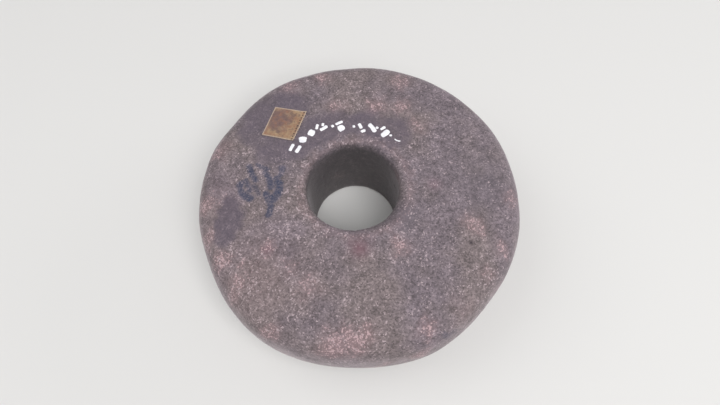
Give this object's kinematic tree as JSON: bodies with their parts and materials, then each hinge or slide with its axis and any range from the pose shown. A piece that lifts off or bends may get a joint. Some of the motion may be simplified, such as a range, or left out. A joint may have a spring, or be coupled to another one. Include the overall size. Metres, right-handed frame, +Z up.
{
  "type": "spindle whorl",
  "caption": "Thick stone disc with a rounded rim and a central bore for a hand spindle, with a small blank square label on its upper face.",
  "frame": {"origin": "on the plane of the flat underside, under the middle of the outline", "axes": "+Z up through the bore, out of the upper face that carries the label; +Y away from the picture's viewer"},
  "size_m": [0.0482, 0.048, 0.0139],
  "materials": {
    "sandstone": "matte",
    "gummed_paper": "matte",
    "white_paint": "matte"
  },
  "bodies": {
    "root": {"whorl": "sandstone", "label": "gummed_paper"}
  },
  "joints": []
}
